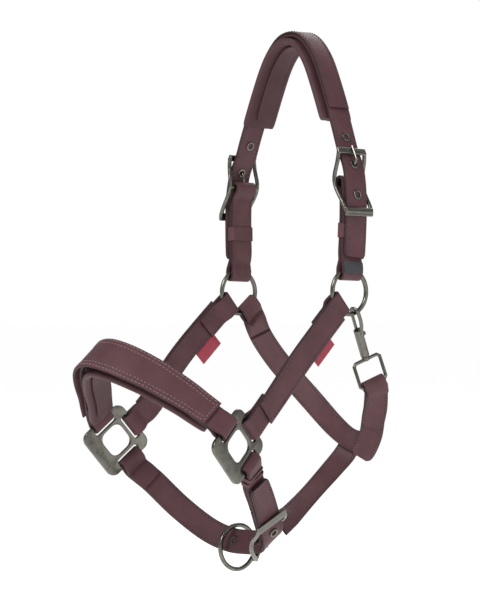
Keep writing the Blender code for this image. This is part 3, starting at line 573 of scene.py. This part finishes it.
def cheek_line(side):
    direction = radial(221.0)
    across = radial(221.0 + 90.0)
    start = ring_centre(side) + direction * ring_seat(CHEEK_W) + np.array([side, 0.0, 0.0]) * FOLD / 2
    _, cheek, nose, normal = square_frame(side)
    end = bar_point(side, "cheek", BAR_AT, SQUARE_FOLD / 2)
    return Line([
        (tuple(start), across),
        (tuple(start + direction * 12), across),
        ((83.2 * side, -68, -279), across),
        (tuple(end + cheek * 26 + normal * 0.5), -nose),
        *reversed(straight_end(end, cheek, -nose)),
    ], side=side)


def far_throat_line():
    lean = math.radians(6.0)
    around = radial(310.0)
    direction = math.cos(lean) * around + math.sin(lean) * np.array([1.0, 0.0, 0.0])
    start = ring_centre(-1.0) + around * ring_seat(CHEEK_W) + np.array([-FOLD / 2, 0.0, 0.0])
    leaning = start + around * ring_hold(CHEEK_W)
    return Line([
        (tuple(start), radial(40.0)),
        (tuple(leaning), radial(40.0)),
        (tuple(leaning + direction * 9), radial(40.0) + np.array([0.15, 0, 0])),
        ((-69, 15.5, -263), (0.45, 0.62, 0.55)),
        ((-51.5, 22.7, -287), (0.56, 0.66, 0.47)),
        ((-21, 34, -319), (0.66, 0.55, 0.48)),
        ((4, 40, -342), (0.68, 0.30, 0.62)),
        ((22, 44, -354), (0.62, 0.05, 0.78)),
        ((36, 50, -358), (0.45, 0.0, 0.89)),
    ], side=-1.0)


def near_throat_line():
    across = (0.363, 0.836, 0.410)
    along = unit((-0.095, -0.404, 0.909))
    return Line([
        ((37.2, 42.7, -370.0), (0.80, 0.45, 0.30)),
        ((43.9, 43.9, -360.7), (0.85, 0.42, 0.26)),
        ((51.2, 43.4, -348.6), (0.82, 0.55, 0.14)),
        ((57.4, 40.7, -333.9), (0.70, 0.70, 0.12)),
        ((62.9, 37.9, -321.9), (0.55, 0.78, 0.22)),
        *reversed(straight_end(np.array(THROAT_END), -along, across, 7.0)),
    ], side=1.0)


def jaw_line():
    return Line([
        ((23.0, 49.9, -347), (-0.80, -0.22, 0.56)),
        ((18.0, 49.6, -356.5), (-0.80, -0.24, 0.55)),
        ((13.5, 45.5, -368), (-0.82, -0.28, 0.50)),
        ((13.0, 31.0, -381), (-0.88, -0.20, 0.42)),
        ((17.0, 3.0, -400.5), (-0.92, -0.02, 0.40)),
        ((22.0, -24.0, -417.5), (-0.82, 0.0, 0.57)),
        ((28.0, -38.0, -423.0), (-0.62, 0.05, 0.78)),
        ((32.5, -48.0, -427.0), (-0.50, 0.05, 0.86)),
    ], side=1.0)


# ---------------------------------------------------------------- leather pieces

def crown():
    line = crown_line()
    tail = line.nearest((84.0, -5, -190.8))
    s_bar = line.nearest((82, -3.4, -122))
    strap("crown_strap_look", line.stations(tail, line.length - tail), CROWN_W, BILLET_T, "crown",
          ("crown_strap",), tuck=5.0)
    chape_out = -(BAR_IN - FOLD / 2)
    rows = []
    for label, mirror in (("near", False), ("far", True)):
        def s_of(s, flipped=mirror):
            return line.length - s if flipped else s
        way = -1.0 if mirror else 1.0
        s_ring = s_of(0.0)
        middle = s_of(s_bar / 2 - 3.0)
        run = list(reversed(fold(line, s_ring, -way, chape_out, FOLD, ring_hold(CROWN_W),
                                 abs(middle - s_ring) - 1.0)))
        run += line.stations(s_ring, s_of(s_bar), chape_out)
        run += fold(line, s_of(s_bar), way, chape_out, FOLD, 2.5, abs(s_of(s_bar) - middle) - 1.0)
        strap(f"{label}_crown_chape_look", run, CROWN_W - 1, STRAP_T, "crown", (f"{label}_crown_chape",))
        front, rear = chape_out + STRAP_T / 2, chape_out - LAYERS - STRAP_T / 2
        rows += both_faces(line, s_of(14.0), s_of(s_bar - 12.0), CROWN_W / 2 - 0.5 - EDGE_INSET, front, rear)
        for s0, s1 in ((tail + 3, s_bar - 4), (s_bar + 6, s_bar + 62)):
            rows += both_faces(line, s_of(s0), s_of(s1), CROWN_W / 2 - EDGE_INSET, BILLET_T / 2, -BILLET_T / 2)
        keeper(f"{label}_crown_keeper", line, middle, rear, front, CROWN_W - 1, 13.0, "crown", 0.9)
    overlay_end = line.nearest((56, -1.2, -59))
    over = (BILLET_T + 1.6) / 2 + GAP
    strap("crown_overlay_look", line.stations(overlay_end, line.length - overlay_end, over), CROWN_W - 0.8, 1.6,
          "crown", ("crown_overlay",), crown=0.5, inset=0.12)
    for sign in (1, -1):
        rows.append(seam(line, overlay_end + 3, line.length - overlay_end - 3,
                         sign * (CROWN_W / 2 - 0.4 - EDGE_INSET), over + 0.8 + 0.2))
    pad_end = line.nearest((59.5, -1.5, -67))
    under = -((BILLET_T + PAD_T) / 2 + GAP)
    pad = strap("crown_pad_look", line.stations(pad_end, line.length - pad_end, under), PAD_W, PAD_T - 1.0,
                "crown", ("crown_pad",), look="pad", radius=2.7, crown=0.5, inset=0.5, tuck=2.0)
    cushion_at = under - (PAD_T + CUSHION_T) / 2 - GAP
    cushion = strap("poll_cushion_look", line.stations(pad_end + 8, line.length - pad_end - 8, cushion_at),
                    CUSHION_W, CUSHION_T, "crown", ("poll_cushion",), look="pad", radius=0.9, crown=0.0,
                    tuck=4.0)
    label_out = chape_out + STRAP_T / 2 + GAP + 0.3
    strap("size_label_look", line.stations(0.6, 12.6, label_out, step=1.0), CROWN_W - 2, 0.6, "crown",
          ("size_label",), look="label", radius=0.25)
    stitches("crown_stitching", rows, "crown")
    for label, side in (("near", 1.0), ("far", -1.0)):
        torus(f"{label}_ring_look", ring_centre(side), "crown", (f"{label}_ring",))


def noseband():
    line = noseband_line()
    end = line.length
    run = list(reversed(fold(line, 0.0, -1.0, 0.0, SQUARE_FOLD, 2.5, 30.0)))
    run += line.stations(0.0, end)
    run += fold(line, end, 1.0, 0.0, SQUARE_FOLD, 2.5, 30.0)
    strap("noseband_strap_look", run, NOSE_STRAP_W, STRAP_T, "lower_headstall", ("noseband_strap",))

    def swell(s, at_end, at_middle):
        return at_end + (at_middle - at_end) * math.sin(math.pi * min(max(s / end, 0), 1)) ** 1.2

    def widths(first, last, at_end, at_middle):
        return [swell(s, at_end, at_middle) for s in np.linspace(first, last, 60)]

    over = (STRAP_T + 2.0) / 2 + GAP
    s0 = 15.0
    strap("noseband_overlay_look", line.stations(s0, end - s0, over), widths(s0, end - s0, NOSE_END_W, NOSE_MID_W),
          2.0, "lower_headstall", ("noseband_overlay",), crown=0.4, inset=0.12)
    under = -(STRAP_T / 2 + LAYERS + NOSE_PAD_T / 2 + GAP)
    s1 = 13.0
    pad = strap("noseband_pad_look", line.stations(s1, end - s1, under), widths(s1, end - s1, NOSE_END_W, NOSE_MID_W),
                NOSE_PAD_T - 1.0, "lower_headstall", ("noseband_pad",), look="pad", radius=2.7, crown=0.5,
                inset=0.5, tuck=1.5)
    s2 = 20.0
    cushion_at = under - (NOSE_PAD_T + CUSHION_T) / 2 - GAP
    cushion = strap("noseband_cushion_look", line.stations(s2, end - s2, cushion_at),
                    widths(s2, end - s2, 16.0, 20.0), CUSHION_T, "lower_headstall", ("noseband_cushion",),
                    look="pad", radius=0.9, tuck=4.0)
    rows = []
    top = over + 1.0 + 0.2
    for sign in (1, -1):
        for inset in (EDGE_INSET, EDGE_INSET + 3.4):
            rows.append(seam(line, s0 + 3, end - s0 - 3,
                             lambda s, sign=sign, inset=inset: sign * (swell(s, NOSE_END_W, NOSE_MID_W) / 2 - inset),
                             top))
    for s_end in (s0 + 2.2, end - s0 - 2.2):
        half = swell(s_end, NOSE_END_W, NOSE_MID_W) / 2 - EDGE_INSET
        normal = line.frame(s_end)[3]
        rows.append([(line.point(s_end, top, u), normal) for u in np.linspace(-half, half, 10)])
    stitches("noseband_stitching", rows, "lower_headstall", "thread_light")


def chin():
    line = chin_line()
    s_bar = line.nearest((48.5, -71.5, -437.0))
    tail = line.nearest((80.7, -111.5, -385.3))
    run = line.stations(tail, line.length)
    run += fold(line, line.length, 1.0, 0.0, SQUARE_FOLD, 3.0, 32.0)
    strap("chin_strap_look", run, CHIN_W, STRAP_T, "lower_headstall", ("chin_strap",), tuck=4.0)
    chape_out = -(BAR_IN - FOLD / 2)
    middle = s_bar * 0.55
    run = list(reversed(fold(line, 0.0, -1.0, chape_out, SQUARE_FOLD, 3.0, middle - 1.0)))
    run += line.stations(0.0, s_bar, chape_out)
    run += fold(line, s_bar, 1.0, chape_out, FOLD, 3.5, s_bar - middle - 1.0)
    strap("chin_chape_look", run, CHIN_W - 1, STRAP_T, "lower_headstall", ("chin_chape",))
    rows = both_faces(line, tail + 2, s_bar - 8, CHIN_W / 2 - EDGE_INSET, STRAP_T / 2, -STRAP_T / 2)
    rows += both_faces(line, s_bar + 10, line.length - 36, CHIN_W / 2 - EDGE_INSET, STRAP_T / 2, -STRAP_T / 2)
    front, rear = chape_out + STRAP_T / 2, chape_out - LAYERS - STRAP_T / 2
    rows += both_faces(line, 18.0, s_bar - 14, CHIN_W / 2 - 0.5 - EDGE_INSET, front, rear)
    for number, s in enumerate((11.5, 16.5), 1):
        keeper(f"chin_keeper_{number}", line, s, rear, front, CHIN_W - 1, 3.6, "lower_headstall", 0.9)
    stitches("chin_stitching", rows, "lower_headstall")


def tab(label, line):
    s_tab, tab_w = TABS[label]
    _, tangent, across, _ = line.frame(s_tab)
    rear = 1.0 if np.dot(across, (0, 1, 0)) > 0 else -1.0
    middle = line.point(s_tab, 0.0, rear * (CHEEK_W + tab_w + 2 * GAP) / 2)
    run = [(middle + tangent * u, across) for u in np.linspace(-TAB_LENGTH / 2, TAB_LENGTH / 2, 14)]
    strap(f"{label}_side_tab_look", run, tab_w, TAB_T, "lower_headstall", (f"{label}_side_tab",), look="tab",
          radius=0.5)


def cheeks():
    rows = []
    for label, side in (("near", 1.0), ("far", -1.0)):
        line = cheek_line(side)
        end = line.length
        run = list(reversed(fold(line, 0.0, -1.0, 0.0, FOLD, ring_hold(CHEEK_W), 34.0)))
        run += line.stations(0.0, end)
        run += fold(line, end, 1.0, 0.0, SQUARE_FOLD, 2.5, 30.0)
        strap(f"{label}_cheek_strap_look", run, CHEEK_W, STRAP_T, "lower_headstall", (f"{label}_cheek_strap",))
        over = (STRAP_T + 2.0) / 2 + GAP
        strap(f"{label}_cheek_overlay_look", line.stations(9.0, end - 16.0, over), CHEEK_OVERLAY_W, 2.0,
              "lower_headstall", (f"{label}_cheek_overlay",), crown=0.4, inset=0.12)
        top = over + 1.0 + 0.2
        half = CHEEK_OVERLAY_W / 2 - EDGE_INSET
        inner = CHEEK_W / 2 - EDGE_INSET
        for s0, s1, back in ((12, 32, LAYERS), (37, end - 33, 0.0), (end - 28, end - 12, LAYERS)):
            for sign in (1, -1):
                rows.append([(place, -normal)
                             for place, normal in seam(line, s0, s1, sign * inner, -back - STRAP_T / 2)])
        for sign in (1, -1):
            rows.append(seam(line, 12.0, end - 19.0, sign * half, top))
        for s_end in (11.2, end - 18.2):
            normal = line.frame(s_end)[3]
            rows.append([(line.point(s_end, top, u), normal) for u in np.linspace(-half, half, 8)])
        tab(label, line)
        halter_square(label, side)
    stitches("cheek_stitching", rows, "lower_headstall")


def throat():
    rows = []
    line = far_throat_line()
    run = list(reversed(fold(line, 0.0, -1.0, 0.0, FOLD, ring_hold(CHEEK_W), 34.0)))
    run += line.stations(0.0, line.length)
    strap("far_throat_strap_look", run, CHEEK_W, STRAP_T, "lower_headstall", ("far_throat_strap",))
    half = CHEEK_W / 2 - EDGE_INSET
    rows += both_faces(line, 12, 32, half, STRAP_T / 2, -LAYERS - STRAP_T / 2)
    rows += both_faces(line, 37, line.length - 4, half, STRAP_T / 2, -STRAP_T / 2)
    line = near_throat_line()
    run = line.stations(0.0, line.length)
    run += fold(line, line.length, 1.0, 0.0, FOLD, 3.0, 44.0)
    strap("near_throat_strap_look", run, THROAT_W, STRAP_T, "lower_headstall", ("near_throat_strap",), tuck=7.0)
    half = THROAT_W / 2 - EDGE_INSET
    rows += both_faces(line, 6, line.length - 9, half, STRAP_T / 2, -LAYERS - STRAP_T / 2)
    line = jaw_line()
    strap("jaw_strap_look", line.stations(0.0, line.length), THROAT_W, STRAP_T, "lower_headstall", ("jaw_strap",))
    rows += both_faces(line, 4, line.length - 8, half, STRAP_T / 2, -STRAP_T / 2)
    stitches("throat_stitching", rows, "lower_headstall")


# ---------------------------------------------------------------- metal pieces

def rounded_box(x0, x1, y0, y1, radius, steps=8):
    points = []
    for cx, cy, start in ((x1 - radius, y1 - radius, 0), (x0 + radius, y1 - radius, 90),
                          (x0 + radius, y0 + radius, 180), (x1 - radius, y0 + radius, 270)):
        for k in range(steps + 1):
            angle = math.radians(start + 90 * k / steps)
            points.append((cx + radius * math.cos(angle), cy + radius * math.sin(angle)))
    return points


def halter_square(label, side):
    """The cast square with its corners and edges well rounded."""
    curve = bpy.data.curves.new("square", "CURVE")
    curve.dimensions = "2D"
    curve.fill_mode = "BOTH"
    curve.extrude = (SQUARE_T / 2 - 0.7) * MM
    curve.bevel_depth = 0.7 * MM
    curve.bevel_resolution = 3
    curve.offset = -0.7 * MM
    for points in (rounded_box(-BRAND_HALF, SQUARE_HALF, -SQUARE_HALF, SQUARE_HALF, 8.0),
                   rounded_box(-OPENING, OPENING, -OPENING, OPENING, 7.5),
                   rounded_box(SLOT_IN, SLOT_OUT, -SLOT_HALF, SLOT_HALF, 2.0, 4),
                   rounded_box(-SLOT_HALF, SLOT_HALF, SLOT_IN, SLOT_OUT, 2.0, 4),
                   rounded_box(-SLOT_HALF, SLOT_HALF, -SLOT_OUT, -SLOT_IN, 2.0, 4)):
        spline = curve.splines.new("POLY")
        spline.points.add(len(points) - 1)
        for place, (x, y) in zip(spline.points, points):
            place.co = (x * MM, y * MM, 0.0, 1.0)
        spline.use_cyclic_u = True
    scratch = bpy.data.objects.new("square", curve)
    bpy.context.scene.collection.objects.link(scratch)
    bpy.context.view_layer.update()
    mesh = bpy.data.meshes.new_from_object(scratch.evaluated_get(bpy.context.evaluated_depsgraph_get()))
    bpy.data.objects.remove(scratch)
    centre, cheek, nose, normal = square_frame(side)
    matrix = Matrix.Identity(4)
    for column, axis in enumerate((cheek, nose, normal)):
        for row in range(3):
            matrix[row][column] = float(axis[row])
    for row in range(3):
        matrix[row][3] = float(centre[row]) * MM
    bm = bmesh.new()
    bm.from_mesh(mesh)
    bmesh.ops.transform(bm, matrix=matrix, verts=bm.verts)
    bmesh.ops.remove_doubles(bm, verts=bm.verts, dist=0.00001)
    finished(f"{label}_square_look", bm, "metal", "lower_headstall", (f"{label}_halter_square",))


def polish(name, voxel, turns):
    """Softens a CAD fitting's facets into a cast shape, by modifiers only."""
    obj = frame["nodes"][name]
    remesh = obj.modifiers.new("skin", "REMESH")
    remesh.mode = "VOXEL"
    remesh.voxel_size = voxel * MM
    remesh.use_smooth_shade = True
    soften = obj.modifiers.new("soften", "SMOOTH")
    soften.factor = 0.5
    soften.iterations = turns


def fittings():
    record_slots = {part["node"]: part["material_slot"] for part in frame["record"]["subparts"]}
    for name, obj in frame["nodes"].items():
        if obj.hide_render:
            continue
        look = LOOKS[record_slots[name]]
        for place in obj.material_slots:
            place.material = look
        if "eyelet" in name or "tongue" in name or "bolt" in name or "spring" in name:
            polish(name, 0.22, 6)
        else:
            polish(name, 0.34, 9)


# ---------------------------------------------------------------- camera, light and floor

AZIMUTH = 51.0
DISTANCE = 2.2
TARGET = Vector((-0.0328, -0.0405, -0.2278))


def studio():
    a = math.radians(AZIMUTH)
    back = Vector((math.sin(a), -math.cos(a), 0.0))
    right = Vector((math.cos(a), math.sin(a), 0.0))
    data = bpy.data.cameras.new("camera")
    data.lens = 145.6
    data.sensor_width = 36.0
    camera = bpy.data.objects.new("camera", data)
    camera.location = TARGET + back * DISTANCE
    camera.rotation_mode = "QUATERNION"
    camera.rotation_quaternion = (-back).to_track_quat("-Z", "Y")
    bpy.context.scene.collection.objects.link(camera)
    bpy.context.scene.camera = camera

    def area(name, place, size, power):
        light = bpy.data.lights.new(name, "AREA")
        light.size = size
        light.energy = power
        lamp = bpy.data.objects.new(name, light)
        lamp.location = place
        lamp.rotation_mode = "QUATERNION"
        lamp.rotation_quaternion = (TARGET - lamp.location).to_track_quat("-Z", "Y")
        bpy.context.scene.collection.objects.link(lamp)

    area("key", TARGET + back * 1.5 - right * 1.0 + Vector((0, 0, 1.5)), 0.9, 40.0)
    area("fill", TARGET + back * 1.4 + right * 1.6 + Vector((0, 0, 0.3)), 1.4, 9.0)
    area("rim", TARGET - back * 1.2 + right * 0.5 + Vector((0, 0, 1.4)), 1.0, 14.0)

    bm = bmesh.new()
    bmesh.ops.create_grid(bm, x_segments=1, y_segments=1, size=30.0)
    mesh = bpy.data.meshes.new("floor")
    bm.to_mesh(mesh)
    bm.free()
    mat, _, shader, _ = fresh("floor")
    shader.inputs["Base Color"].default_value = (0.92, 0.92, 0.92, 1.0)
    shader.inputs["Roughness"].default_value = 0.9
    shader.inputs["Emission Color"].default_value = (1.0, 1.0, 1.0, 1.0)
    shader.inputs["Emission Strength"].default_value = 0.62
    mesh.materials.append(mat)
    floor = bpy.data.objects.new("floor", mesh)
    floor.location = (0.0, 0.0, -0.62)
    bpy.context.scene.collection.objects.link(floor)

    world = bpy.data.worlds.new("studio")
    world.use_nodes = True
    background = world.node_tree.nodes["Background"]
    background.inputs["Color"].default_value = (1.0, 1.0, 1.0, 1.0)
    seen = world.node_tree.nodes.new("ShaderNodeLightPath")
    strength = world.node_tree.nodes.new("ShaderNodeMapRange")
    strength.inputs["To Min"].default_value = 0.40
    strength.inputs["To Max"].default_value = 1.0
    world.node_tree.links.new(seen.outputs["Is Camera Ray"], strength.inputs["Value"])
    world.node_tree.links.new(strength.outputs["Result"], background.inputs["Strength"])
    bpy.context.scene.world = world
    bpy.context.scene.view_settings.view_transform = "Standard"


crown()
noseband()
chin()
cheeks()
throat()
torus("lead_ring_look", LEAD_RING_CENTRE, "lead_ring_body", ("lead_ring",))
fittings()
studio()
